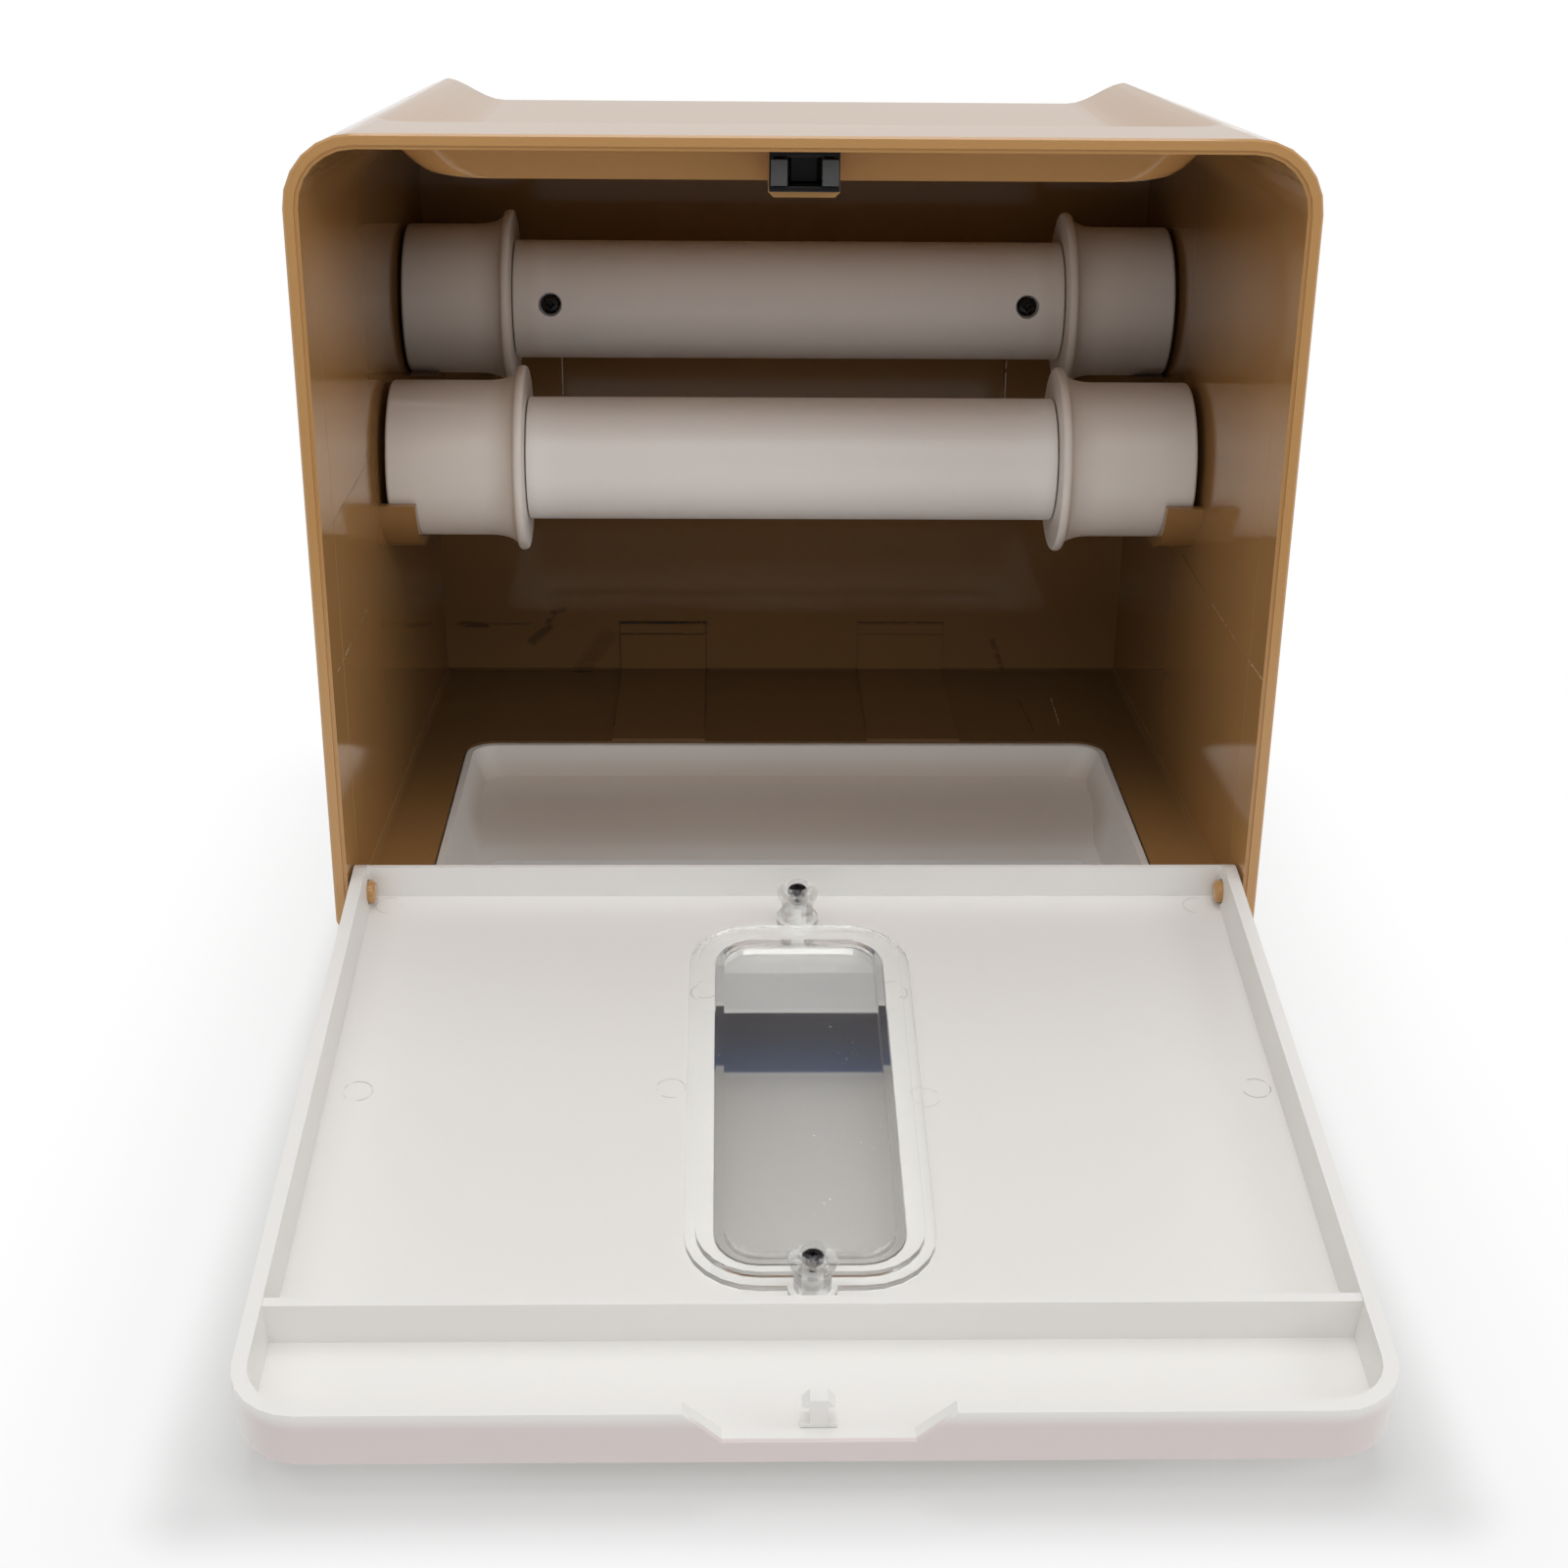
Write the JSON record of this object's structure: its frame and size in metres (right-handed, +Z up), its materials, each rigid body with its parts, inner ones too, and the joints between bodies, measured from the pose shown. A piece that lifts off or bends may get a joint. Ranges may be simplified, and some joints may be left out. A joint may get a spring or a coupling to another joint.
{
  "type": "paper roll dispenser",
  "caption": "Case open at the front with a drop-down door and clear window, turning roll spindles, a push catch and an arched base with a paper slot.",
  "frame": {"origin": "middle of the bounding box in plan, on the surface that the base stands on, with the door open", "axes": "+Z up, the open front and the lowered door face -Y, +X is the right-hand side seen from the front"},
  "size_m": [0.2196, 0.343, 0.2203],
  "materials": {
    "case_plastic": "glossy tan ABS",
    "white_plastic": "satin white ABS",
    "window_clear": "clear moulded plastic",
    "spindle_plastic": "satin light grey-beige ABS",
    "catch_plastic": "satin black",
    "jaw_plastic": "satin dark grey",
    "spring_steel": "drawn wire",
    "screw_steel": "blackened steel"
  },
  "bodies": {
    "case": {"case_shell": "case_plastic", "outlet_base": "white_plastic", "base_screw_front_left": "screw_steel", "base_screw_front_right": "screw_steel", "base_screw_back_left": "screw_steel", "base_screw_back_right": "screw_steel", "catch_housing": "catch_plastic", "catch_spring": "spring_steel"},
    "door": {"door_panel": "white_plastic", "window": "window_clear", "window_screw_hinge": "screw_steel", "window_screw_free": "screw_steel"},
    "upper_spindle": {"upper_tube": "spindle_plastic", "upper_cap_left": "spindle_plastic", "upper_cap_right": "spindle_plastic", "upper_screw_left": "screw_steel", "upper_screw_right": "screw_steel"},
    "lower_spindle": {"lower_tube": "spindle_plastic", "lower_cap_left": "spindle_plastic", "lower_cap_right": "spindle_plastic", "lower_screw_left": "screw_steel", "lower_screw_right": "screw_steel"},
    "catch_plunger": {"catch_plunger": "catch_plastic"},
    "catch_jaw_left": {"catch_jaw_left": "jaw_plastic"},
    "catch_jaw_right": {"catch_jaw_right": "jaw_plastic"}
  },
  "joints": [
    {"name": "door_hinge", "type": "hinge", "parent": "case", "child": "door", "pos_m": [0, -0.00209, 0.0451], "axis": [-1, 0, 0], "range_deg": [0, 100.6]},
    {"name": "upper_spindle_turn", "type": "hinge", "parent": "case", "child": "upper_spindle", "pos_m": [0, 0.13256, 0.1598], "axis": [1, 0, 0], "continuous": true},
    {"name": "lower_spindle_turn", "type": "hinge", "parent": "case", "child": "lower_spindle", "pos_m": [0, 0.08666, 0.1276], "axis": [1, 0, 0], "continuous": true},
    {"name": "catch_push", "type": "slide", "parent": "case", "child": "catch_plunger", "axis": [0, 1, 0], "range_m": [0, 0.0025], "stiffness_N_per_m": 400, "springref_m": -0.002, "deforming": ["catch_spring"]},
    {"name": "catch_jaw_left_pivot", "type": "hinge", "parent": "catch_plunger", "child": "catch_jaw_left", "pos_m": [-0.0042, 0.00656, 0.2123], "axis": [0, 0, 1], "range_deg": [0, 8.2]},
    {"name": "catch_jaw_right_pivot", "type": "hinge", "parent": "catch_plunger", "child": "catch_jaw_right", "pos_m": [0.0042, 0.00656, 0.2123], "axis": [0, 0, -1], "range_deg": [0, 8.2]}
  ],
  "couplings": [
    {"joint": "catch_jaw_left_pivot", "follows": "catch_push", "rad_per_m": 55.851},
    {"joint": "catch_jaw_right_pivot", "follows": "catch_push", "rad_per_m": 55.851}
  ]
}
